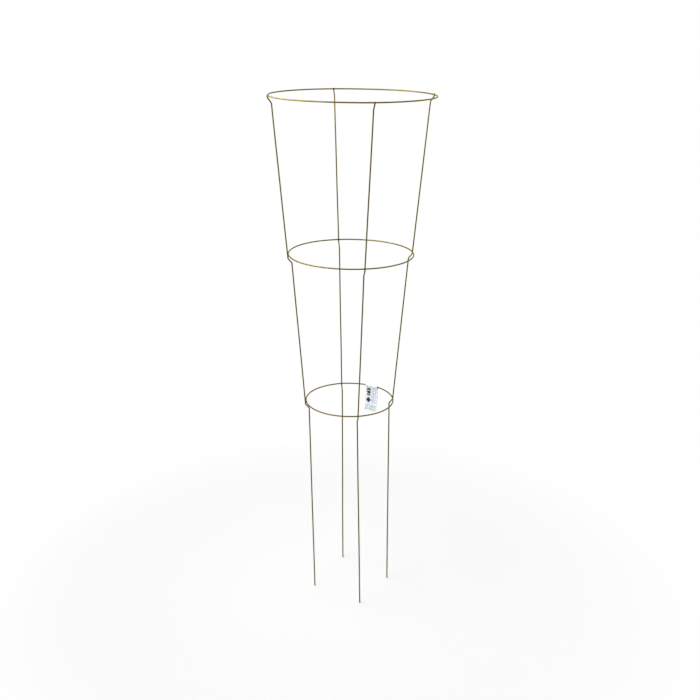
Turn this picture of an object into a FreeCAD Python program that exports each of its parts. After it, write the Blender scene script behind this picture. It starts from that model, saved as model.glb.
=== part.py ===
import FreeCAD, Part
import math
import os

import Sketcher
from FreeCAD import Placement, Rotation, Vector

# Tomato cage: four bent legs welded to the outside of three wire rings, with a folded hang tag.
# Millimetres, +Z up. The origin is on the ground under the middle of the rings.
# leg_front stands at -Y, leg_right at +X. An azimuth is in degrees, from -Y towards +X.

# Driving sizes, each with its alias and what it measures
SIZES = [
    ("top_ring_radius", 206, "to the middle of the wire"),
    ("middle_ring_radius", 160.7, "to the middle of the wire"),
    ("bottom_ring_radius", 117.6, "to the middle of the wire"),
    ("top_ring_height", 1369, "ground to the middle of the wire"),
    ("middle_ring_height", 975.5, "ground to the middle of the wire"),
    ("bottom_ring_height", 570.8, "ground to the middle of the wire"),
    ("ring_wire", 3.43, "diameter of the rings' wire"),
    ("leg_wire", 3.43, "diameter of the legs' wire"),
    ("tip_rise", 2.5, "leg's top end above the middle of the top ring"),
    ("bend_radius", 4.5, "inside a joggle, to the middle of the wire"),
    ("joggle_in", 9.9, "how far a joggle sets the leg inwards"),
    ("top_joggle_start", 3, "middle of the ring down to the joggle"),
    ("top_joggle_drop", 13.9, "height of the joggle"),
    ("middle_joggle_start", 7.2, "middle of the ring down to the joggle"),
    ("middle_joggle_drop", 11.1, "height of the joggle"),
    ("bottom_joggle_start", 6.6, "middle of the ring down to the joggle"),
    ("bottom_joggle_drop", 11.3, "height of the joggle"),
    ("middle_twist_angle", -1.8, "how far the legs have turned at the middle ring, degrees"),
    ("bottom_twist_angle", -3, "how far the legs have turned at the bottom ring, degrees"),
    ("foot_front_radius", 114.7, "axis to the foot"),
    ("foot_right_radius", 115.8, "axis to the foot"),
    ("foot_back_radius", 126.9, "axis to the foot"),
    ("foot_left_radius", 98.2, "axis to the foot"),
    ("foot_front_twist_angle", 3.7, "how far the foot has turned, degrees"),
    ("foot_right_twist_angle", -5.6, "how far the foot has turned, degrees"),
    ("foot_back_twist_angle", -6.9, "how far the foot has turned, degrees"),
    ("foot_left_twist_angle", 2.1, "how far the foot has turned, degrees"),
    ("weld_bite", 0.35, "how deep a leg is pressed into a ring"),
    ("weld_bead_radius", 2.1, "bead squeezed out where leg and ring cross"),
    ("seam_gap", 0.8, "between the two ends of a ring's wire"),
    ("seam_flash", 0.3, "how far a seam's bead stands proud of the wire"),
    ("seam_length", 2.6, "seam's bead along the ring"),
    ("top_seam_azimuth", 222, "degrees"),
    ("middle_seam_azimuth", 48, "degrees"),
    ("bottom_seam_azimuth", 228, "degrees"),
    ("tag_azimuth", 134, "degrees"),
    ("tag_width", 38, "along the ring"),
    ("tag_drop", 74, "middle of the fold down to the lower edge"),
    ("tag_ply", 0.3, "thickness of one of its two layers"),
    ("tag_throat", 9, "middle of the fold down to where the layers meet"),
    ("tag_clearance", 0.3, "least gap between the fold and the ring"),
    ("overrun", 20, "how far a cutting block runs past what it cuts"),
]

RINGS = ["top", "middle", "bottom"]
LEG_AZIMUTHS = {"front": 0, "right": 90, "back": 180, "left": 270}

doc = FreeCAD.newDocument("tomato_cage")
sheet = doc.addObject("Spreadsheet::Sheet", "sizes")
for row, (alias, value, note) in enumerate(SIZES, start=1):
    sheet.set(f"A{row}", alias)
    sheet.set(f"B{row}", str(value))
    sheet.setAlias(f"B{row}", alias)
    sheet.set(f"C{row}", note)
doc.recompute()


def size(name):
    return float(sheet.get(name))


def bind(item, expressions):
    """Bind properties to the sheet, where $name stands for a named size."""
    for prop, text in expressions.items():
        item.setExpression(prop, text.replace("$", "sizes."))


def at(azimuth, radius, height):
    """The point at a radius from the cage's axis, in the direction of an azimuth."""
    angle = math.radians(azimuth)
    return Vector(radius * math.sin(angle), -radius * math.cos(angle), height)


def leg_offset():
    """How far the middle of a leg's wire lies outside the middle of the ring's wire."""
    return (size("ring_wire") + size("leg_wire")) / 2 - size("weld_bite")


def leg_azimuth(side, level):
    """Where a leg stands at a ring or at the foot. At the top ring it is true, and below it has turned."""
    return LEG_AZIMUTHS[side] + (0 if level == "top" else size(f"{level}_twist_angle"))


def weld_point(side, ring):
    """Where the middle of a leg's wire passes a ring."""
    radius = size(f"{ring}_ring_radius") + leg_offset()
    return at(leg_azimuth(side, ring), radius, size(f"{ring}_ring_height"))


def leg_corners(side):
    """Corners of a leg's middle line, from its top end down past the ground."""
    end = weld_point(side, "top") + Vector(0, 0, size("tip_rise"))
    corners = [end]
    for ring in RINGS:
        weld = weld_point(side, ring)
        share = size(f"{ring}_joggle_start") / (end.z - weld.z)
        start = weld + (weld - end) * share
        inwards = at(leg_azimuth(side, ring), -size("joggle_in"), 0)
        end = start + inwards - Vector(0, 0, size(f"{ring}_joggle_drop"))
        corners += [start, end]
    foot = at(leg_azimuth(side, f"foot_{side}"), size(f"foot_{side}_radius"), 0)
    corners.append(foot + (foot - end).normalize() * size("overrun"))
    return corners


def bent_wire(corners, radius):
    """Straight runs joined by tangent arcs of one radius."""
    edges = []
    start = corners[0]
    for before, corner, after in zip(corners, corners[1:], corners[2:]):
        back = (before - corner).normalize()
        ahead = (after - corner).normalize()
        half_turn = (-back).getAngle(ahead) / 2
        cut = radius * math.tan(half_turn)
        inside = (back + ahead).normalize()
        middle = corner + inside * (radius / math.cos(half_turn) - radius)
        edges.append(Part.LineSegment(start, corner + back * cut).toShape())
        edges.append(Part.Arc(corner + back * cut, middle, corner + ahead * cut).toShape())
        start = corner + ahead * cut
    edges.append(Part.LineSegment(start, corners[-1]).toShape())
    return Part.Wire(edges)


def cut(base, tool, name):
    result = doc.addObject("Part::Cut", name)
    result.Base = base
    result.Tool = tool
    return result


def make_ground():
    """A block under the ground, which trims the feet level."""
    block = doc.addObject("Part::Box", "ground_block")
    bind(block, {
        "Length": "2 * ($top_ring_radius + $overrun)",
        "Width": "2 * ($top_ring_radius + $overrun)",
        "Height": "2 * $overrun",
        "Placement.Base.x": "-$top_ring_radius - $overrun",
        "Placement.Base.y": "-$top_ring_radius - $overrun",
        "Placement.Base.z": "-2 * $overrun",
    })
    return block


def make_leg(side, ground):
    """A round wire along its bent path, cut level at the ground."""
    corners = leg_corners(side)
    path = doc.addObject("Part::Feature", f"path_{side}")
    path.Shape = bent_wire(corners, size("bend_radius"))
    section = doc.addObject("Part::Circle", f"section_{side}")
    bind(section, {"Radius": "$leg_wire / 2"})
    section.Placement = Placement(corners[0], Rotation())
    sweep = doc.addObject("Part::Sweep", f"wire_{side}")
    sweep.Sections = [section]
    sweep.Spine = (path, [])
    sweep.Solid = True
    return cut(sweep, ground, f"leg_{side}")


def ring_arc(ring, name, wire_radius, start, span):
    """A stretch of a ring's torus, from one azimuth over a span in degrees."""
    arc = doc.addObject("Part::Torus", name)
    bind(arc, {
        "Radius1": f"${ring}_ring_radius",
        "Radius2": wire_radius,
        "Angle3": span,
        "Placement.Base.z": f"${ring}_ring_height",
        "Placement.Rotation.Angle": f"{start} - 90",
    })
    return arc


def make_ring(ring, legs):
    """A wire bent round, with dents where the legs are pressed in and a gap at its seam."""
    gap = f"($seam_gap / ${ring}_ring_radius * 180 / pi)"
    start = f"${ring}_seam_azimuth + {gap} / 2"
    arc = ring_arc(ring, f"{ring}_ring_wire", "$ring_wire / 2", start, f"360 - {gap}")
    return cut(arc, legs, f"{ring}_ring")


def make_seam(ring, wire):
    """The butt weld that closes a ring: it fills the gap and stands proud all round."""
    bead = f"($seam_length / ${ring}_ring_radius * 180 / pi)"
    start = f"${ring}_seam_azimuth - {bead} / 2"
    arc = ring_arc(ring, f"{ring}_seam_bead", "$ring_wire / 2 + $seam_flash", start, bead)
    return cut(arc, wire, f"{ring}_ring_seam")


def make_weld(side, ring, leg, wire):
    """The bead squeezed out round the spot where a leg and a ring are fused."""
    bead = doc.addObject("Part::Sphere", f"{ring}_{side}_bead")
    bind(bead, {"Radius": "$weld_bead_radius"})
    radius = size(f"{ring}_ring_radius") + size("ring_wire") / 2 - size("weld_bite") / 2
    middle = at(leg_azimuth(side, ring), radius, size(f"{ring}_ring_height"))
    outwards = Rotation(Vector(0, 0, 1), Vector(middle.x, middle.y, 0))
    between_wires = Rotation(Vector(0, 0, 1), 45)
    bead.Placement = Placement(middle, outwards * between_wires)
    beside_leg = cut(bead, leg, f"{ring}_{side}_bead_beside_leg")
    return cut(beside_leg, wire, f"weld_{ring}_{side}")


def make_tag():
    """A printed strip folded over the bottom ring, its two layers stuck together below."""
    body = doc.addObject("PartDesign::Body", "hang_tag")
    plane = next(item for item in body.Origin.OriginFeatures if item.Role == "XZ_Plane")
    outline = body.newObject("Sketcher::SketchObject", "tag_outline")
    outline.AttachmentSupport = (plane, [""])
    outline.MapMode = "FlatFace"

    # The ring curves away across the tag, so the fold's middle lies half that bow inwards of it
    bow = "($bottom_ring_radius - sqrt($bottom_ring_radius ^ 2 - $tag_width ^ 2 / 4))"
    fold = f"($ring_wire / 2 + {bow} / 2 + $tag_clearance)"
    radius, half_width = size("bottom_ring_radius"), size("tag_width") / 2
    half_bow = (radius - math.sqrt(radius ** 2 - half_width ** 2)) / 2
    inner = size("ring_wire") / 2 + half_bow + size("tag_clearance")
    draw_tag(outline, inner, size("tag_ply"), size("tag_throat"), size("tag_drop"))
    bind(outline, {
        "Constraints.fold_inside": fold,
        "Constraints.fold_outside": f"{fold} + $tag_ply",
        "Constraints.throat": "$tag_throat",
        "Constraints.drop": "$tag_drop",
        "Constraints.thickness": "2 * $tag_ply",
    })
    pad = body.newObject("PartDesign::Pad", "tag_layers")
    pad.Profile = outline
    pad.Midplane = True
    bind(pad, {"Length": "$tag_width"})
    spin = Rotation(Vector(0, 0, 1), size("tag_azimuth") - 90)
    place = at(size("tag_azimuth"), radius - half_bow, size("bottom_ring_height"))
    body.Placement = Placement(place, spin)
    return body


def draw_tag(outline, inner, ply, throat, drop):
    """The tag seen from its edge: a fold round the wire, closing into two flat layers."""
    lean = math.asin(inner / throat)
    outer = inner + ply
    shoulder = -(outer - ply * math.cos(lean)) / math.sin(lean)
    across, down = math.cos(lean), -math.sin(lean)
    normal = Vector(0, 0, 1)
    outside = Part.Circle(Vector(0, 0, 0), normal, outer)
    inside = Part.Circle(Vector(0, 0, 0), normal, inner)

    def line(x_1, y_1, x_2, y_2):
        return outline.addGeometry(Part.LineSegment(Vector(x_1, y_1, 0), Vector(x_2, y_2, 0)), False)

    over = outline.addGeometry(Part.ArcOfCircle(outside, -lean, math.pi + lean), False)
    left_slope = line(-outer * across, outer * down, -ply, shoulder)
    left_face = line(-ply, shoulder, -ply, -drop)
    edge = line(-ply, -drop, ply, -drop)
    right_face = line(ply, -drop, ply, shoulder)
    right_slope = line(ply, shoulder, outer * across, outer * down)
    hollow = outline.addGeometry(Part.ArcOfCircle(inside, -lean, math.pi + lean), False)
    left_wall = line(-inner * across, inner * down, 0, -throat)
    right_wall = line(0, -throat, inner * across, inner * down)

    # Every line ends where the next begins, and the slopes leave both arcs without a corner
    rule = Sketcher.Constraint
    first, last, centre = 1, 2, 3
    origin, upright = -1, -2
    outline.addConstraint([
        rule("Coincident", over, centre, origin, first),
        rule("Coincident", hollow, centre, origin, first),
        rule("Tangent", over, last, left_slope, first),
        rule("Coincident", left_slope, last, left_face, first),
        rule("Coincident", left_face, last, edge, first),
        rule("Coincident", edge, last, right_face, first),
        rule("Coincident", right_face, last, right_slope, first),
        rule("Tangent", right_slope, last, over, first),
        rule("Tangent", hollow, last, left_wall, first),
        rule("Coincident", left_wall, last, right_wall, first),
        rule("Tangent", right_wall, last, hollow, first),
        rule("Parallel", left_slope, left_wall),
        rule("Parallel", right_slope, right_wall),
        rule("Vertical", left_face),
        rule("Vertical", right_face),
        rule("Symmetric", edge, first, edge, last, upright),
        rule("PointOnObject", left_wall, last, upright),
    ])
    named = [
        ("fold_inside", rule("Radius", hollow, inner)),
        ("fold_outside", rule("Radius", over, outer)),
        ("throat", rule("DistanceY", left_wall, last, origin, first, throat)),
        ("drop", rule("DistanceY", edge, first, origin, first, drop)),
        ("thickness", rule("DistanceX", edge, first, edge, last, 2 * ply)),
    ]
    for name, constraint in named:
        outline.renameConstraint(outline.addConstraint(constraint), name)


ground = make_ground()
legs = {side: make_leg(side, ground) for side in LEG_AZIMUTHS}
all_legs = doc.addObject("Part::Compound", "all_legs")
all_legs.Links = list(legs.values())
rings = {ring: make_ring(ring, all_legs) for ring in RINGS}
seams = [make_seam(ring, rings[ring]) for ring in RINGS]
welds = [make_weld(side, ring, legs[side], rings[ring]) for ring in RINGS for side in LEG_AZIMUTHS]
subparts = [*rings.values(), *legs.values(), *seams, *welds, make_tag()]
doc.recompute()

for item in doc.Objects:
    if "Invalid" in item.State or "Error" in item.State:
        raise RuntimeError(f"{item.Name} is {item.State}")
for item in subparts:
    if item.Shape.isNull() or not item.Shape.isValid() or len(item.Shape.Solids) != 1:
        raise RuntimeError(f"{item.Name} isn't one valid solid")

os.makedirs("parts", exist_ok=True)
for item in subparts:
    item.Label = item.Name
    item.Shape.exportStep(f"parts/{item.Label}.step")
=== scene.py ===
import math

import bpy
import numpy as np
from mathutils import Matrix, Vector
from mathutils.noise import noise, noise_vector, seed_set


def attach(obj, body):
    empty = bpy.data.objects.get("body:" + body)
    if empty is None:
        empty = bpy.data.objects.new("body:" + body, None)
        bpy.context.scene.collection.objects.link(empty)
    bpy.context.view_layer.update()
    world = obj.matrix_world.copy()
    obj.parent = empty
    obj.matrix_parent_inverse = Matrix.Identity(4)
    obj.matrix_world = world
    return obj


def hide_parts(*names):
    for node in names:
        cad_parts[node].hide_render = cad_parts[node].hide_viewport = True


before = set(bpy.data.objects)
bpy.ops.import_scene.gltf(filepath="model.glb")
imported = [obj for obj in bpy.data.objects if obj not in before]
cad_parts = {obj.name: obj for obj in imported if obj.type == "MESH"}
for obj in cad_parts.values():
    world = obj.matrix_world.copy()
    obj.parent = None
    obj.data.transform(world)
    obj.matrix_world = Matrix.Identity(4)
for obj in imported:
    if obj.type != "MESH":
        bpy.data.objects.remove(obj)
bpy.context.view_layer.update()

# Tomato cage: four bent legs welded to three wire rings, with a folded printed tag on the lowest one.
# Metres, +Z up, origin on the ground under the rings. An azimuth runs from -Y towards +X, in degrees.

MM = 0.001

# The cage's sizes, as its solids have them
RING_RADIUS = {"top": 0.206, "middle": 0.1607, "bottom": 0.1176}
RING_HEIGHT = {"top": 1.369, "middle": 0.9755, "bottom": 0.5708}
SEAM_AZIMUTH = {"top": 222, "middle": 48, "bottom": 228}
LEG_AZIMUTH = {"front": 0, "right": 90, "back": 180, "left": 270}
TWIST = {"top": 0, "middle": -1.8, "bottom": -3}
JOGGLE_START = {"top": 3 * MM, "middle": 7.2 * MM, "bottom": 6.6 * MM}
JOGGLE_DROP = {"top": 13.9 * MM, "middle": 11.1 * MM, "bottom": 11.3 * MM}
JOGGLE_IN = 9.9 * MM
BEND_RADIUS = 4.5 * MM
FOOT_RADIUS = {"front": 0.1147, "right": 0.1158, "back": 0.1269, "left": 0.0982}
FOOT_TWIST = {"front": 3.7, "right": -5.6, "back": -6.9, "left": 2.1}
WIRE = 3.43 / 2 * MM
TIP_RISE = 2.5 * MM
WELD_BITE = 0.35 * MM
LEG_OFFSET = 2 * WIRE - WELD_BITE

# The tag, a strip folded over the bottom ring
TAG_AZIMUTH = 134
TAG_WIDTH = 38 * MM
TAG_DROP = 74 * MM
TAG_THROAT = 9 * MM
TAG_PLY = 0.3 * MM
TAG_CLEARANCE = 0.3 * MM

RINGS = tuple(RING_RADIUS)
SIDES = tuple(LEG_AZIMUTH)
PHOTO_PIXELS = 700


def outward(azimuth):
    """The level direction away from the cage's axis."""
    angle = math.radians(azimuth)
    return Vector((math.sin(angle), -math.cos(angle), 0))


def at(azimuth, radius, height):
    return outward(azimuth) * radius + Vector((0, 0, height))


def smooth(value, low, high):
    """0 below low, 1 above high, and smooth between, for numbers and arrays."""
    share = np.clip((value - low) / (high - low), 0, 1)
    return share * share * (3 - 2 * share)


# Camera


def make_camera():
    """The photograph's viewpoint, from a fit of the rings and legs."""
    azimuth, distance, height = -13.8, 2.37305, 1.55581
    pitch, roll = math.radians(19.569), math.radians(0.574)
    focal_pixels = 946.61
    place = at(azimuth, distance, height)
    inwards = -outward(azimuth)
    ahead = inwards * math.cos(pitch) - Vector((0, 0, math.sin(pitch)))
    level_right = inwards.cross(Vector((0, 0, 1)))
    level_up = level_right.cross(ahead)
    right = level_right * math.cos(roll) + level_up * math.sin(roll)
    up = level_up * math.cos(roll) - level_right * math.sin(roll)
    data = bpy.data.cameras.new("camera")
    data.sensor_width = 36
    data.lens = focal_pixels / PHOTO_PIXELS * data.sensor_width
    data.clip_start, data.clip_end = 0.05, 60
    camera = bpy.data.objects.new("camera", data)
    turn = Matrix((right, up, -ahead)).transposed().to_4x4()
    camera.matrix_world = Matrix.Translation(place) @ turn
    bpy.context.scene.collection.objects.link(camera)
    bpy.context.scene.camera = camera


# Meshes


def make_mesh(name, points, faces, attributes=None):
    """A new smooth object from points and faces, with named values for its material at each point."""
    mesh = bpy.data.meshes.new(name)
    mesh.from_pydata([tuple(p) for p in points], [], faces)
    mesh.update()
    for key, values in (attributes or {}).items():
        values = np.asarray(values, np.float32)
        kind, field = ("FLOAT_VECTOR", "vector") if values.ndim == 2 else ("FLOAT", "value")
        mesh.attributes.new(key, kind, "POINT").data.foreach_set(field, values.ravel())
    mesh.shade_smooth()
    made = bpy.data.objects.new(name, mesh)
    bpy.context.scene.collection.objects.link(made)
    return made


def place_piece(piece, body, node, material):
    """A piece that stands for one node rides on its body and takes its finish."""
    piece.data.materials.append(material)
    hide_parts(node)
    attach(piece, body)


def tube(centres, outs, sections, closed):
    """Points and faces of a tube. sections holds each ring of points as (outwards, sideways) offsets."""
    centres, outs = np.asarray(centres), np.asarray(outs)
    if closed:
        along = np.roll(centres, -1, 0) - np.roll(centres, 1, 0)
    else:
        along = np.gradient(centres, axis=0)
    along /= np.linalg.norm(along, axis=1, keepdims=True)
    outs = outs - along * (outs * along).sum(1, keepdims=True)
    outs /= np.linalg.norm(outs, axis=1, keepdims=True)
    across = np.cross(along, outs)
    points = centres[:, None] + sections[:, :, :1] * outs[:, None] + sections[:, :, 1:] * across[:, None]
    count, sides = sections.shape[:2]
    faces = []
    for i in range(count if closed else count - 1):
        here, there = i * sides, (i + 1) % count * sides
        for k in range(sides):
            n = (k + 1) % sides
            faces.append((here + k, here + n, there + n, there + k))
    return points.reshape(-1, 3), faces


def graded(length, step, spots, fine_step, reach):
    """Places along a length, close together near the spots and a step apart elsewhere."""
    places, here = [0.0], 0.0
    while here < length:
        near = min((abs(here - spot) for spot in spots), default=length)
        share = min(max(near / reach - 0.5, 0), 1)
        here += fine_step + (step - fine_step) * share
        places.append(min(here, length))
    if len(places) > 2 and places[-1] - places[-2] < fine_step / 2:
        del places[-2]
    return np.array(places)


# Wires

SIDES_OF_TUBE = 28
ROUND = np.linspace(0, 2 * math.pi, SIDES_OF_TUBE, endpoint=False)
LONG_STEP, FINE_STEP, FINE_REACH = 7 * MM, 0.45 * MM, 9 * MM
NEAREST_SAMPLES = 400
ELECTRODE_DENT = 0.22 * MM
DENT_SPREAD_SHARE = 0.35
END_TAPER_SHARE = 0.12

# How far the wire wanders, over what length, and how far from a weld or end it is held and is free
LEG_WANDER, LEG_WANDER_REACH = 0.45 * MM, 170 * MM
RING_WANDER, RING_WANDER_REACH = 0.5 * MM, 120 * MM
HELD_LENGTH, LEG_FREE_LENGTH, RING_FREE_LENGTH = 4 * MM, 60 * MM, 50 * MM
LEG_SEED_STEP, RING_SEED, RING_SEED_STEP = 7.3, 31, 5.7

# Marks on the wire, each full up to its first distance and gone at its second
ELECTRODE_MARK = (1.53 * MM, 3.4 * MM)
BITE_MARK = (1.2 * MM, 2.2 * MM)
TAPER_MARK = (0, 0.5 * MM)
SCORCH_MARK = (1.5 * MM, 7.5 * MM)
HEAT_MARK = (5 * MM, 20 * MM)
# Painted shade: a leg's wire is darkened near each bend, where the kink turns away from the light
BEND_SHADE_MARK = (2.5 * MM, 8 * MM)
CUT_MARK = (0.1 * MM, 0.9 * MM)


def leg_azimuth(side, ring):
    return LEG_AZIMUTH[side] + TWIST[ring]


def weld_point(side, ring):
    """Where the middle of a leg's wire passes a ring."""
    return at(leg_azimuth(side, ring), RING_RADIUS[ring] + LEG_OFFSET, RING_HEIGHT[ring])


def leg_corners(side):
    """Corners of a leg's middle line, from its top end to the ground."""
    end = weld_point(side, "top") + Vector((0, 0, TIP_RISE))
    corners = [end]
    for ring in RINGS:
        weld = weld_point(side, ring)
        start = weld + (weld - end) * (JOGGLE_START[ring] / (end.z - weld.z))
        end = start - outward(leg_azimuth(side, ring)) * JOGGLE_IN - Vector((0, 0, JOGGLE_DROP[ring]))
        corners += [start, end]
    corners.append(at(LEG_AZIMUTH[side] + FOOT_TWIST[side], FOOT_RADIUS[side], 0))
    return corners


def bent_line(corners, radius, steps=10):
    """Points of a line with rounded corners, and the places along it where the bends are."""
    points, bends = [corners[0]], []
    for before, corner, after in zip(corners, corners[1:], corners[2:]):
        back, ahead = (before - corner).normalized(), (after - corner).normalized()
        half_turn = back.angle(-ahead) / 2
        cut = radius * math.tan(half_turn)
        centre = corner + (back + ahead).normalized() * (radius / math.cos(half_turn))
        first = corner + back * cut - centre
        last = corner + ahead * cut - centre
        spokes = [first.lerp(last, i / steps).normalized() for i in range(steps + 1)]
        points += [centre + spoke * radius for spoke in spokes]
        bends.append(len(points) - 1 - steps // 2)
    points.append(corners[-1])
    line = np.array([tuple(p) for p in points])
    run = np.concatenate([[0], np.cumsum(np.linalg.norm(np.diff(line, axis=0), axis=1))])
    return line, run, run[bends]


def along_line(line, run, places):
    return np.stack([np.interp(places, run, line[:, i]) for i in range(3)], axis=1)


def place_nearest(line, run, point):
    """The place along a line that is nearest to a point."""
    away = np.linalg.norm(line - np.array(point), axis=1)
    nearest = int(away[:-1].argmin())
    fine = np.linspace(run[max(nearest - 1, 0)], run[nearest + 1], NEAREST_SAMPLES)
    gaps = np.linalg.norm(along_line(line, run, fine) - np.array(point), axis=1)
    return fine[gaps.argmin()]


def fading(distance, mark):
    """1 where a mark is full and 0 where it is gone."""
    full, gone = mark
    return 1 - smooth(distance, full, gone)


def wander(points, size, reach, seed, still):
    """Slight bends that wire keeps from its coil. still is 0 where the wire is held."""
    drift = np.array([tuple(noise_vector(Vector(p) / reach + Vector((seed, 0, 0)))) for p in points])
    return points + drift * (size * still)[:, None]


def wire_sections(count, dents):
    """Round sections, pressed flat at each dent: its depths at every place and its side, 1 out or -1 in."""
    outwards = np.tile(np.cos(ROUND), (count, 1)) * WIRE
    sideways = np.tile(np.sin(ROUND), (count, 1)) * WIRE
    for depths, side in dents:
        limit = WIRE - depths[:, None]
        pressed = np.minimum(outwards * side, limit) * side
        spread = 1 + (np.abs(outwards - pressed).max(1, keepdims=True) / WIRE) * DENT_SPREAD_SHARE
        outwards, sideways = pressed, sideways * spread
    return np.stack([outwards, sideways], axis=2)


def welded_sections(to_weld, electrode_side):
    """Sections pressed by an electrode on one side, 1 out or -1 in, and by the other wire opposite it."""
    dent = ELECTRODE_DENT * fading(to_weld, ELECTRODE_MARK)
    bite = WELD_BITE / 2 * fading(to_weld, BITE_MARK)
    return wire_sections(len(to_weld), [(dent, electrode_side), (bite, -electrode_side)])


def flow(places):
    """The wire's surface unrolled: round it, and along it."""
    grid = np.zeros((len(places), SIDES_OF_TUBE, 3))
    grid[:, :, 0] = np.cos(ROUND) * WIRE
    grid[:, :, 1] = np.sin(ROUND) * WIRE
    grid[:, :, 2] = places[:, None]
    return grid.reshape(-1, 3)


def all_round(values):
    """One value for each place along a wire, repeated for every point round it."""
    return np.repeat(values, SIDES_OF_TUBE)


def make_leg(side, material):
    """A leg's wire with flats where the welding electrodes pressed it, painted shade darkening its bends,
    and sheared ends.
    """
    line, run, bends = bent_line(leg_corners(side), BEND_RADIUS)
    welds = [place_nearest(line, run, weld_point(side, ring)) for ring in RINGS]
    length = run[-1]
    spots = [0, *welds, *bends, length]
    places = graded(length, LONG_STEP, spots, FINE_STEP, FINE_REACH)
    centres = along_line(line, run, places)
    to_weld = np.min([np.abs(places - w) for w in welds], axis=0)
    to_bend = np.min([np.abs(places - b) for b in bends], axis=0)
    to_end = np.minimum(places, length - places)
    still = smooth(np.minimum(to_weld, to_end), HELD_LENGTH, LEG_FREE_LENGTH)
    centres = wander(centres, LEG_WANDER, LEG_WANDER_REACH, SIDES.index(side) * LEG_SEED_STEP, still)
    outs = centres * np.array([1, 1, 0])
    sections = welded_sections(to_weld, 1)
    sections *= (1 - END_TAPER_SHARE * fading(to_end, TAPER_MARK))[:, None, None]
    points, faces = tube(centres, outs, sections, closed=False)
    down = (centres[-1] - centres[-2]) / np.linalg.norm(centres[-1] - centres[-2])
    foot = points[-SIDES_OF_TUBE:]
    foot -= down * (foot[:, 2:] / down[2])
    top_cap, foot_cap = len(points), len(points) + 1
    points = np.vstack([points, centres[0], centres[-1]])
    last = (len(places) - 1) * SIDES_OF_TUBE
    for k in range(SIDES_OF_TUBE):
        n = (k + 1) % SIDES_OF_TUBE
        faces.append((n, k, top_cap))
        faces.append((last + k, last + n, foot_cap))
    marks = {
        "flow": np.vstack([flow(places), [(0, 0, 0), (0, 0, length)]]),
        "scorch": np.append(all_round(fading(to_weld, SCORCH_MARK)), [0, 0]),
        "heat": np.append(all_round(fading(to_weld, HEAT_MARK)), [0, 0]),
        # Painted shade at the bends
        "bend_shade": np.append(all_round(fading(to_bend, BEND_SHADE_MARK)), [0, 0]),
        "cut": np.append(all_round(fading(to_end, CUT_MARK)), [1, 1]),
    }
    leg = make_mesh(f"wire_leg_{side}", points, faces, marks)
    place_piece(leg, "cage", f"leg_{side}", material)


def make_ring(ring, material):
    """A ring's wire, pressed on the inside by the electrodes and on the outside by the legs."""
    radius, height = RING_RADIUS[ring], RING_HEIGHT[ring]
    length = 2 * math.pi * radius
    place_of = {a: math.radians(a % 360) * radius for a in (leg_azimuth(s, ring) for s in SIDES)}
    seam = math.radians(SEAM_AZIMUTH[ring]) * radius
    spots = [p + turn * length for p in [*place_of.values(), seam] for turn in (-1, 0, 1)]
    places = graded(length, LONG_STEP, spots, FINE_STEP, FINE_REACH)[:-1]
    azimuths = np.degrees(places / radius)
    centres = np.array([tuple(at(a, radius, height)) for a in azimuths])

    def nearest(targets):
        gaps = np.abs(places[:, None] - np.array(targets)[None])
        return np.minimum(gaps, length - gaps).min(1)

    to_weld, to_seam = nearest(list(place_of.values())), nearest([seam])
    to_heat = np.minimum(to_weld, to_seam)
    still = smooth(to_heat, HELD_LENGTH, RING_FREE_LENGTH)
    seed = RING_SEED + RINGS.index(ring) * RING_SEED_STEP
    centres = wander(centres, RING_WANDER, RING_WANDER_REACH, seed, still)
    outs = np.array([tuple(outward(a)) for a in azimuths])
    points, faces = tube(centres, outs, welded_sections(to_weld, -1), closed=True)
    marks = {
        "flow": flow(places),
        "scorch": all_round(fading(to_heat, SCORCH_MARK)),
        "heat": all_round(fading(to_heat, HEAT_MARK)),
        # A ring has no bends, so it takes none of the painted bend shade
        "bend_shade": np.zeros(len(points)),
        "cut": np.zeros(len(points)),
    }
    made = make_mesh(f"wire_{ring}_ring", points, faces, marks)
    place_piece(made, "cage", f"{ring}_ring", material)


# Welds

BEAD_RADIUS, BEAD_DEPTH_SHARE = 1.95 * MM, 0.62
BEAD_LUMP, BEAD_LUMP_REACH = 0.3 * MM, 1.1 * MM
SPECKS_PER_WELD = 4
SPECK_RADII = (0.16 * MM, 0.21 * MM, 0.26 * MM)
SPECK_DISTANCE, SPECK_SCATTER = 2.7 * MM, 1.1 * MM
SEAM_HALF_WIDTH, SEAM_SINK, SEAM_FLASH = 1.3 * MM, 0.03 * MM, 0.28 * MM
SEAM_LUMP_SHARE = 0.3
SEAM_GROUND_SHARE, SEAM_GROUND_COSINE = 0.45, 0.6
SEAM_LUMPS_ROUND, SEAM_LUMPS_ALONG, SEAM_SEED_PER_METRE = 2.3, 2, 90


def ball(radius, rows=20, columns=32):
    """Points and faces of a ball about the origin."""
    points = [Vector((0, 0, radius))]
    for i in range(1, rows):
        lean = math.pi * i / rows
        for k in range(columns):
            turn = 2 * math.pi * k / columns
            level = Vector((math.cos(turn), math.sin(turn), 0)) * math.sin(lean)
            points.append((level + Vector((0, 0, math.cos(lean)))) * radius)
    points.append(Vector((0, 0, -radius)))
    faces = [(0, 1 + k, 1 + (k + 1) % columns) for k in range(columns)]
    for i in range(rows - 2):
        here, below = 1 + i * columns, 1 + (i + 1) * columns
        for k in range(columns):
            n = (k + 1) % columns
            faces.append((here + k, below + k, below + n, here + n))
    end, last = len(points) - 1, 1 + (rows - 2) * columns
    faces += [(end, last + (k + 1) % columns, last + k) for k in range(columns)]
    return points, faces


def lumpy(points, size, reach, seed):
    """Moves each point in or out by smooth noise, as squeezed metal sets."""
    return [p + p.normalized() * noise(p / reach + Vector((seed, seed, 0))) * size for p in points]


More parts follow.
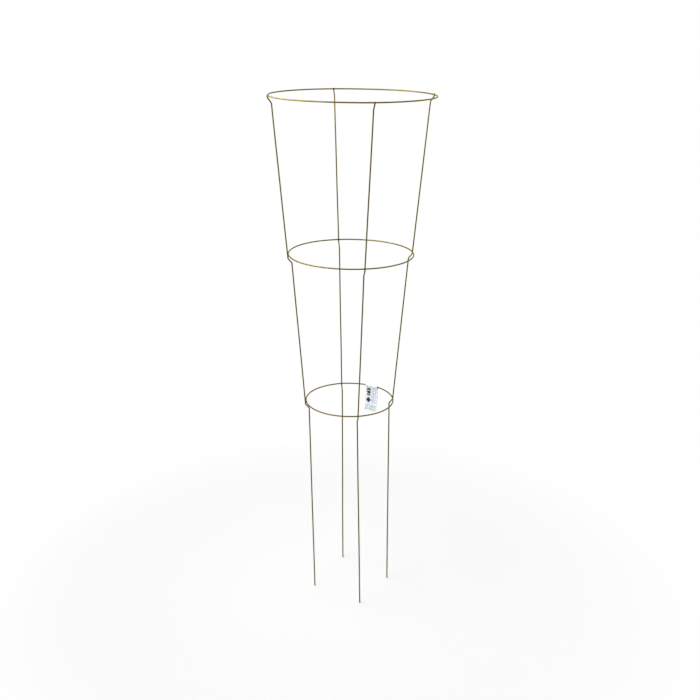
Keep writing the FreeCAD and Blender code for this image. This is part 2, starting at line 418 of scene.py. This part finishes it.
def make_weld(ring, side, material):
    """The bead squeezed out where a leg and a ring are fused, with a few specks of spatter beside it."""
    azimuth = leg_azimuth(side, ring)
    out = outward(azimuth)
    across = Vector((-out.y, out.x, 0))
    middle = at(azimuth, RING_RADIUS[ring] + WIRE - WELD_BITE / 2, RING_HEIGHT[ring])
    seed = RINGS.index(ring) * 11.3 + SIDES.index(side) * 3.7
    body, faces = ball(BEAD_RADIUS)
    body = lumpy(body, BEAD_LUMP, BEAD_LUMP_REACH, seed)
    points = [middle + across * p.x + Vector((0, 0, p.y)) + out * (p.z * BEAD_DEPTH_SHARE) for p in body]
    for i in range(SPECKS_PER_WELD):
        angle = seed + i * 2.1
        distance = SPECK_DISTANCE + SPECK_SCATTER * noise(Vector((seed, i, 0.5)))
        speck, speck_faces = ball(SPECK_RADII[i % len(SPECK_RADII)], rows=8, columns=12)
        on_leg = i % 2 == 0
        along, aside = (Vector((0, 0, -1)), across) if on_leg else (across, Vector((0, 0, 1)))
        turn = math.copysign(0.7 + 0.4 * abs(math.cos(angle)), math.sin(angle * 3))
        outer = 1 if on_leg else -1
        way = 1 if on_leg or angle % 2 > 1 else -1
        surface = aside * math.sin(turn) + out * (math.cos(turn) * outer)
        wire_middle = middle + out * (LEG_OFFSET / 2 * outer)
        spot = wire_middle + along * (distance * way) + surface * WIRE
        start = len(points)
        points += [spot + p for p in speck]
        faces += [tuple(start + k for k in face) for face in speck_faces]
    bead = make_mesh(f"bead_{ring}_{side}", points, faces)
    place_piece(bead, "cage", f"weld_{ring}_{side}", material)


def make_seam(ring, material):
    """The butt weld that closes a ring: a rough collar round the wire, ground a little on the outside."""
    radius, height = RING_RADIUS[ring], RING_HEIGHT[ring]
    rows, columns = 17, 36
    points, faces = [], []
    for i in range(rows):
        share = 2 * i / (rows - 1) - 1
        azimuth = SEAM_AZIMUTH[ring] + math.degrees(share * SEAM_HALF_WIDTH / radius)
        out = outward(azimuth)
        crown = math.sqrt(max(1 - share * share, 0))
        ridge = 0.75 + 0.25 * math.cos(share * 9)
        along = share * SEAM_LUMPS_ALONG + radius * SEAM_SEED_PER_METRE
        for k in range(columns):
            turn = 2 * math.pi * k / columns
            round_place = math.cos(turn) * SEAM_LUMPS_ROUND, math.sin(turn) * SEAM_LUMPS_ROUND
            lump = noise(Vector((*round_place, along)))
            tall = WIRE - SEAM_SINK + SEAM_FLASH * crown * (ridge + SEAM_LUMP_SHARE * lump)
            most = SEAM_FLASH * (SEAM_GROUND_SHARE if math.cos(turn) > SEAM_GROUND_COSINE else 1)
            offset = out * math.cos(turn) + Vector((0, 0, math.sin(turn)))
            points.append(at(azimuth, radius, height) + offset * min(tall, WIRE + most))
    for i in range(rows - 1):
        here, there = i * columns, (i + 1) * columns
        for k in range(columns):
            n = (k + 1) % columns
            faces.append((here + k, here + n, there + n, there + k))
    faces.append(tuple(reversed(range(columns))))
    faces.append(tuple(range((rows - 1) * columns, rows * columns)))
    seam = make_mesh(f"bead_{ring}_ring_seam", points, faces)
    place_piece(seam, "cage", f"{ring}_ring_seam", material)


# Tag

TAG_CURL, TAG_CURL_RISE_SHARE = 7 * MM, 0.055
TAG_EDGE_LIFT = 1.3 * MM
TAG_WAVE, TAG_WAVES_PER_METRE = 0.5 * MM, (45, 30)
TAG_WAVE_SEED = 4.2
TAG_CORNER = 1.6 * MM
TAG_CORNER_SHARES = (0.75, 0.5, 0.3, 0.15, 0.05)
TAG_THROAT_END_SHARE = 1.04
TAG_THROAT_SHARES = (0.25, 0.5, 0.75, 0.9, 1)
TAG_FOLD_STEPS, TAG_DROP_STEPS, TAG_COLUMNS = 15, 33, 40
TAG_THICKNESS_SHARE = 0.98


def tag_bow():
    """How far the ring curves away across the tag's width."""
    radius = RING_RADIUS["bottom"]
    return radius - math.sqrt(radius ** 2 - TAG_WIDTH ** 2 / 4)


def tag_profile():
    """The strip's middle line seen from its edge, from one layer's end over the ring to the other's.

    Each point is (outwards, up) from the ring's middle."""
    half = TAG_PLY / 2
    inside = WIRE + tag_bow() / 2 + TAG_CLEARANCE
    lean, fold = math.asin(inside / TAG_THROAT), inside + half
    outer = []
    for angle in np.linspace(math.pi / 2, -lean, TAG_FOLD_STEPS + 1):
        outer.append((fold * math.cos(angle), fold * math.sin(angle)))
    throat_end = -TAG_THROAT * TAG_THROAT_END_SHARE
    for share in TAG_THROAT_SHARES:
        outwards = fold * math.cos(lean) * (1 - share) + half * share
        outer.append((outwards, -fold * math.sin(lean) * (1 - share) + throat_end * share))
    heights = [throat_end - (TAG_DROP + throat_end) * s for s in np.linspace(0, 1, TAG_DROP_STEPS + 1)[1:-1]]
    heights += [-(TAG_DROP - TAG_CORNER * share) for share in TAG_CORNER_SHARES]
    heights.append(-TAG_DROP)
    outer += [(half, height) for height in sorted({round(h, 6) for h in heights}, reverse=True)]
    outer = np.array(outer)
    inner = outer[:0:-1] * np.array([-1, 1])
    return np.vstack([inner, outer])


def make_tag(material):
    """A thin film folded over the ring and stuck to itself, with a lazy curl towards the cage's axis."""
    line = tag_profile()
    steps = np.linalg.norm(np.diff(line, axis=0), axis=1)
    run = np.concatenate([[0], np.cumsum(steps)])
    run -= run[-1] / 2
    tangents = np.gradient(line, axis=0)
    tangents /= np.linalg.norm(tangents, axis=1, keepdims=True)
    normals = np.stack([-tangents[:, 1], tangents[:, 0]], axis=1)
    out = outward(TAG_AZIMUTH)
    along = Vector((-out.y, out.x, 0))
    pivot = at(TAG_AZIMUTH, RING_RADIUS["bottom"] - tag_bow() / 2, RING_HEIGHT["bottom"])
    points, across_of, run_of, face_of = [], [], [], []
    columns = np.linspace(-1, 1, TAG_COLUMNS + 1)
    for side in (1, -1):
        for i, (x, y) in enumerate(line):
            drop = max(-y - TAG_THROAT, 0) / (TAG_DROP - TAG_THROAT)
            edge = max(TAG_CORNER - (TAG_DROP + y), 0)
            half_width = TAG_WIDTH / 2 - (TAG_CORNER - math.sqrt(max(TAG_CORNER ** 2 - edge ** 2, 0)))
            for share in columns:
                wide = share * half_width
                wave_place = wide * TAG_WAVES_PER_METRE[0], y * TAG_WAVES_PER_METRE[1], TAG_WAVE_SEED
                wave = noise(Vector(wave_place)) * TAG_WAVE * min(drop * 3, 1)
                lift = TAG_EDGE_LIFT * drop ** 3 * share ** 2
                shift = -TAG_CURL * drop ** 2 + wave - lift
                x_here = x + normals[i][0] * side * TAG_PLY / 2 * TAG_THICKNESS_SHARE + shift
                y_here = y + normals[i][1] * side * TAG_PLY / 2 * TAG_THICKNESS_SHARE
                y_here = max(y_here + TAG_CURL * TAG_CURL_RISE_SHARE * drop ** 3, -TAG_DROP)
                points.append(pivot + out * x_here + along * wide + Vector((0, 0, y_here)))
                across_of.append(wide)
                run_of.append(run[i])
                face_of.append(side)
    wide_count, rows = TAG_COLUMNS + 1, len(line)
    faces = []
    back = rows * wide_count
    for i in range(rows - 1):
        for k in range(TAG_COLUMNS):
            a, b = i * wide_count + k, i * wide_count + k + 1
            c, d = b + wide_count, a + wide_count
            faces += [(a, b, c, d), (back + d, back + c, back + b, back + a)]
        left, right = i * wide_count, i * wide_count + TAG_COLUMNS
        faces.append((left, left + wide_count, back + left + wide_count, back + left))
        faces.append((right + wide_count, right, back + right, back + right + wide_count))
    for k in range(TAG_COLUMNS):
        last = (rows - 1) * wide_count + k
        faces += [(k + 1, k, back + k, back + k + 1), (last, last + 1, back + last + 1, back + last)]
    print_place = np.stack([across_of, run_of, face_of], axis=1)
    tag = make_mesh("printed_tag", points, faces, {"print": print_place})
    place_piece(tag, "tag", "hang_tag", material)


# Materials


class Nodes:
    """Short ways to add nodes to a material. A value is a number, a colour or another node's output."""

    def __init__(self, name):
        self.material = bpy.data.materials.new(name)
        self.material.use_nodes = True
        self.tree = self.material.node_tree
        self.tree.nodes.clear()
        self.output = self.tree.nodes.new("ShaderNodeOutputMaterial")

    def add(self, kind, inputs=None, **settings):
        node = self.tree.nodes.new(kind)
        for key, value in settings.items():
            setattr(node, key, value)
        for key, value in (inputs or {}).items():
            self.feed(node.inputs[key], value)
        return node

    def feed(self, socket, value):
        if isinstance(value, bpy.types.NodeSocket):
            self.tree.links.new(value, socket)
        else:
            socket.default_value = value

    def math(self, operation, a, b=0.0):
        return self.add("ShaderNodeMath", {0: a, 1: b}, operation=operation).outputs[0]

    def mix(self, factor, a, b):
        node = self.add("ShaderNodeMix", data_type="RGBA")
        for socket, value in ((node.inputs[0], factor), (node.inputs[6], a), (node.inputs[7], b)):
            self.feed(socket, value)
        return node.outputs[2]

    def spread(self, value, low, high, to_low=0.0, to_high=1.0):
        inputs = {"Value": value, "From Min": low, "From Max": high, "To Min": to_low, "To Max": to_high}
        return self.add("ShaderNodeMapRange", inputs, clamp=True).outputs["Result"]

    def noise(self, vector, scale, detail=3.0, rough=0.5):
        inputs = {"Vector": vector, "Scale": scale, "Detail": detail, "Roughness": rough}
        return self.add("ShaderNodeTexNoise", inputs).outputs["Fac"]

    def named(self, name, output="Fac"):
        return self.add("ShaderNodeAttribute", attribute_name=name).outputs[output]

    def scaled(self, vector, x, y, z):
        return self.add("ShaderNodeVectorMath", {0: vector, 1: (x, y, z)}, operation="MULTIPLY").outputs[0]

    def split(self, vector):
        return self.add("ShaderNodeSeparateXYZ", {0: vector}).outputs

    def surface(self, shader):
        self.tree.links.new(shader, self.output.inputs["Surface"])
        return self.material


def colour(red, green, blue):
    """A colour written as it shows on a screen, 0 to 255, as the linear value that a shader takes."""
    def linear(value):
        value /= 255
        return value / 12.92 if value <= 0.04045 else ((value + 0.055) / 1.055) ** 2.4
    return (linear(red), linear(green), linear(blue), 1)


def wire_material():
    """Drawn steel wire under yellow-passivated zinc: olive gold, mottled, burnt brown beside the welds, and
    darkened at the bends as painted shade.
    """
    m = Nodes("zinc_wire")
    flow_place = m.named("flow", "Vector")
    patches = m.noise(m.scaled(flow_place, 1, 1, 0.25), 260, 4, 0.6)
    mottle = m.noise(flow_place, 1500, 3, 0.6)
    drawn = m.noise(m.scaled(flow_place, 1, 1, 0.03), 4200, 2, 0.5)
    tone = m.mix(m.spread(patches, 0.35, 0.68), colour(76, 65, 10), colour(104, 91, 24))
    tone = m.mix(m.spread(mottle, 0.52, 0.75, 0, 0.5), tone, colour(124, 112, 46))
    tone = m.mix(m.spread(mottle, 0.3, 0.42, 0.5, 0), tone, colour(60, 50, 10))
    tone = m.mix(m.spread(drawn, 0.3, 0.7, 0, 0.3), tone, colour(62, 53, 12))
    heat, scorch = m.named("heat"), m.named("scorch")
    tint = m.math("MULTIPLY", heat, m.spread(patches, 0.3, 0.6, 0.5, 0.9))
    tone = m.mix(m.math("MULTIPLY", tint, 0.25), tone, colour(84, 62, 16))
    burnt = m.math("MULTIPLY", scorch, m.spread(mottle, 0.3, 0.7, 0.6, 1))
    tone = m.mix(m.math("MULTIPLY", burnt, 0.3), tone, colour(56, 45, 20))
    # Painted shade: the wire is darkened towards each bend, as a kink turned from the light would look
    bend_shade = m.math("MULTIPLY", m.named("bend_shade"), m.spread(patches, 0.3, 0.65, 0.35, 1))
    tone = m.mix(m.math("MULTIPLY", bend_shade, 0.5), tone, colour(54, 45, 16))
    tone = m.mix(m.named("cut"), tone, colour(92, 86, 70))
    rough = m.math("ADD", m.spread(mottle, 0.3, 0.7, 0.28, 0.42), m.math("MULTIPLY", scorch, 0.18))
    relief = m.math("ADD", m.math("MULTIPLY", drawn, 0.6), m.math("MULTIPLY", mottle, 0.5))
    bump = m.add("ShaderNodeBump", {"Strength": 0.35, "Distance": 0.06 * MM, "Height": relief})
    shader = m.add("ShaderNodeBsdfPrincipled", {
        "Base Color": tone, "Metallic": 0.85, "Roughness": rough, "Normal": bump.outputs[0],
        "Specular Tint": (1, 0.92, 0.5, 1), "Coat Weight": 0.08, "Coat Roughness": 0.3,
    })
    return m.surface(shader.outputs[0])


def weld_material():
    """Re-set metal: dark oxide with brown and blue heat colours and a fine crust."""
    m = Nodes("weld_bead")
    place = m.add("ShaderNodeTexCoord").outputs["Object"]
    cloud = m.noise(place, 420, 3, 0.6)
    crust = m.noise(place, 2600, 3, 0.7)
    tone = m.mix(m.spread(cloud, 0.35, 0.65), colour(94, 81, 38), colour(124, 110, 58))
    tone = m.mix(m.spread(cloud, 0.6, 0.72, 0, 0.4), tone, colour(92, 92, 90))
    tone = m.mix(m.spread(crust, 0.58, 0.75, 0, 0.5), tone, colour(56, 47, 28))
    rough = m.spread(crust, 0.3, 0.7, 0.42, 0.7)
    bump = m.add("ShaderNodeBump", {"Strength": 0.6, "Distance": 0.12 * MM, "Height": crust})
    shader = m.add("ShaderNodeBsdfPrincipled", {
        "Base Color": tone, "Metallic": 0.7, "Roughness": rough, "Normal": bump.outputs[0],
    })
    return m.surface(shader.outputs[0])


# The tag's print, in millimetres from the middle of its width and from the fold: left, right, top, bottom
DASH_COLUMNS = ((-14.5, -9.4, 12, 56), (-8, -4.2, 9, 58), (-3, -0.4, 14, 50))
DASH_PITCH, DASHES_PER_METRE, DASH_SEED_STEP = 1.55, 420.0, 7.31
DASH_GAP_SHARE, DASH_THRESHOLD = 0.45, 0.44
BARS = ((3.5, 14.5, 13.5, 20), (3.5, 14.5, 21.5, 29), (3.5, 14.5, 30.5, 34), (3.5, 14.5, 35.4, 36.6))
DIAMOND_ACROSS, DIAMOND_DOWN, DIAMOND_REACH = 8.6, 48, 8
BAND = (-16, 17, 61, 76)
BAND_SQUARES = ((5, 9, 64, 67), (5, 9, 70, 73))


def tag_material():
    """Semi-matte printed film with a generic print: grey dashes, bars, a diamond and a band with squares."""
    m = Nodes("printed_tag")
    across, run, face = m.split(m.named("print", "Vector"))
    inside = m.math("LESS_THAN", run, 0.0)
    down = m.math("ABSOLUTE", run)
    mirror = m.math("SUBTRACT", m.math("MULTIPLY", inside, 2.0), 1.0)
    sway = m.math("MULTIPLY", across, mirror)

    def between(value, low, high):
        above, below = m.math("GREATER_THAN", value, low * MM), m.math("LESS_THAN", value, high * MM)
        return m.math("MULTIPLY", above, below)

    def patch(left, right, top, bottom):
        return m.math("MULTIPLY", between(sway, left, right), between(down, top, bottom))

    def any_patch(places):
        joined = patch(*places[0])
        for place in places[1:]:
            joined = m.math("MAXIMUM", joined, patch(*place))
        return joined

    paper = m.noise(m.add("ShaderNodeTexCoord").outputs["Object"], 90, 3, 0.5)
    tone = m.mix(m.spread(paper, 0.35, 0.65), colour(229, 235, 246), colour(240, 243, 250))
    row_place = m.math("MULTIPLY", sway, 1 / (DASH_PITCH * MM))
    row = m.math("MULTIPLY", m.math("FLOOR", row_place), DASH_SEED_STEP)
    dash_place = m.add("ShaderNodeCombineXYZ", {0: row, 1: m.math("MULTIPLY", down, DASHES_PER_METRE)})
    dashes = m.math("GREATER_THAN", m.noise(dash_place.outputs[0], 1.0, 0.0), DASH_THRESHOLD)
    dash_rows = m.math("GREATER_THAN", m.math("FRACT", row_place), DASH_GAP_SHARE)
    columns = any_patch(DASH_COLUMNS)
    inked = m.math("MULTIPLY", m.math("MULTIPLY", dash_rows, dashes), columns)
    tone = m.mix(m.math("MULTIPLY", inked, 0.6), tone, colour(128, 130, 150))
    tone = m.mix(m.math("MULTIPLY", columns, 0.15), tone, colour(196, 196, 222))
    reach_x = m.math("ABSOLUTE", m.math("SUBTRACT", sway, DIAMOND_ACROSS * MM))
    reach_y = m.math("ABSOLUTE", m.math("SUBTRACT", down, DIAMOND_DOWN * MM))
    diamond = m.math("LESS_THAN", m.math("ADD", reach_x, reach_y), DIAMOND_REACH * MM)
    tone = m.mix(m.math("MULTIPLY", patch(*BAND), 0.6), tone, colour(182, 200, 196))
    tone = m.mix(any_patch(BAND_SQUARES), tone, colour(240, 244, 244))
    tone = m.mix(m.math("MAXIMUM", any_patch(BARS), diamond), tone, colour(26, 26, 34))
    outside_face = m.math("GREATER_THAN", face, 0.0)
    tone = m.mix(outside_face, colour(224, 228, 235), tone)
    bump = m.add("ShaderNodeBump", {"Strength": 0.15, "Distance": 0.05 * MM, "Height": paper})
    shader = m.add("ShaderNodeBsdfPrincipled", {
        "Base Color": tone, "Roughness": 0.42, "Normal": bump.outputs[0],
    })
    return m.surface(shader.outputs[0])


# Stage

FLOOR_REACH = 30.0
FLOOR_SINK = 0.02 * MM
FLOOR_TONE = 0.97
FLOOR_FADE_START, FLOOR_FADE_END, FLOOR_LEAST_FADE = 0.12, 1.0, 0.35
WORLD_SOFT, WORLD_WHITE = 0.2, 1.0
WHITE = (1, 1, 1, 1)


def make_floor():
    """A pale floor that takes the cage's shadow near it and turns plain white far off."""
    rings, spokes = 24, 96
    points = [Vector((0, 0, 0))]
    for i in range(1, rings + 1):
        radius = FLOOR_REACH * (i / rings) ** 3
        points += [at(360 * k / spokes, radius, 0) for k in range(spokes)]
    faces = [(0, 1 + k, 1 + (k + 1) % spokes) for k in range(spokes)]
    for i in range(rings - 1):
        here, there = 1 + i * spokes, 1 + (i + 1) * spokes
        for k in range(spokes):
            n = (k + 1) % spokes
            faces.append((here + k, there + k, there + n, here + n))
    floor = make_mesh("floor", points, faces)
    floor.location.z = -FLOOR_SINK
    m = Nodes("floor")
    place = m.split(m.add("ShaderNodeTexCoord").outputs["Object"])
    away = m.math("SQRT", m.math("ADD", m.math("POWER", place[0], 2.0), m.math("POWER", place[1], 2.0)))
    near = m.add("ShaderNodeBsdfDiffuse", {"Color": (FLOOR_TONE, FLOOR_TONE, FLOOR_TONE, 1)})
    rays = m.add("ShaderNodeLightPath").outputs
    seen = m.math("MAXIMUM", rays["Is Camera Ray"], rays["Is Glossy Ray"])
    seen = m.math("MAXIMUM", seen, rays["Is Transmission Ray"])
    white = m.add("ShaderNodeEmission", {"Color": WHITE, "Strength": 1.0})
    fade = m.math("MULTIPLY", m.spread(away, FLOOR_FADE_START, FLOOR_FADE_END, FLOOR_LEAST_FADE, 1), seen)
    mixed = m.add("ShaderNodeMixShader", {0: fade, 1: near.outputs[0], 2: white.outputs[0]})
    floor.data.materials.append(m.surface(mixed.outputs[0]))


def make_world():
    """White where the camera or a reflection sees it, and an even soft light on everything else."""
    world = bpy.data.worlds.new("studio")
    world.use_nodes = True
    tree = world.node_tree
    tree.nodes.clear()
    rays = tree.nodes.new("ShaderNodeLightPath").outputs
    seen = rays["Is Camera Ray"]
    for kind in ("Is Glossy Ray", "Is Transmission Ray"):
        join = tree.nodes.new("ShaderNodeMath")
        join.operation = "MAXIMUM"
        tree.links.new(seen, join.inputs[0])
        tree.links.new(rays[kind], join.inputs[1])
        seen = join.outputs[0]
    soft, white = tree.nodes.new("ShaderNodeBackground"), tree.nodes.new("ShaderNodeBackground")
    soft.inputs[0].default_value, soft.inputs[1].default_value = WHITE, WORLD_SOFT
    white.inputs[0].default_value, white.inputs[1].default_value = WHITE, WORLD_WHITE
    mix = tree.nodes.new("ShaderNodeMixShader")
    tree.links.new(seen, mix.inputs[0])
    tree.links.new(soft.outputs[0], mix.inputs[1])
    tree.links.new(white.outputs[0], mix.inputs[2])
    output = tree.nodes.new("ShaderNodeOutputWorld")
    tree.links.new(mix.outputs[0], output.inputs[0])
    bpy.context.scene.world = world


def make_lamp(name, azimuth, distance, height, width, power, aim):
    """A soft square lamp, itself unseen, that points at a height on the cage's axis."""
    data = bpy.data.lights.new(name, "AREA")
    data.size, data.energy = width, power
    lamp = bpy.data.objects.new(name, data)
    lamp.location = at(azimuth, distance, height)
    lamp.rotation_mode = "QUATERNION"
    lamp.rotation_quaternion = (Vector((0, 0, aim)) - lamp.location).to_track_quat("-Z", "Y")
    lamp.visible_camera = False
    bpy.context.scene.collection.objects.link(lamp)


def make_stage():
    """Floor, world and five lamps. Three near ones at the upper left make the top ring shine most."""
    make_floor()
    make_world()
    make_lamp("key", azimuth=-64, distance=0.95, height=1.75, width=0.8, power=14, aim=1.5)
    make_lamp("side", azimuth=-96, distance=0.8, height=1.75, width=0.7, power=12, aim=1.5)
    make_lamp("rim", azimuth=-126, distance=0.8, height=1.75, width=0.7, power=10, aim=1.5)
    make_lamp("fill", azimuth=60, distance=3.2, height=2.2, width=2.0, power=32, aim=0.5)
    make_lamp("top", azimuth=180, distance=0.7, height=2.9, width=1.0, power=12, aim=0.9)
    bpy.context.scene.view_settings.view_transform = "Standard"


# Without a seed, the wires' wander would follow the clock
WANDER_SEED = 5
seed_set(WANDER_SEED)

make_camera()
wire, weld = wire_material(), weld_material()
for ring in RINGS:
    make_ring(ring, wire)
    make_seam(ring, weld)
for side in SIDES:
    make_leg(side, wire)
    for ring in RINGS:
        make_weld(ring, side, weld)
make_tag(tag_material())
make_stage()
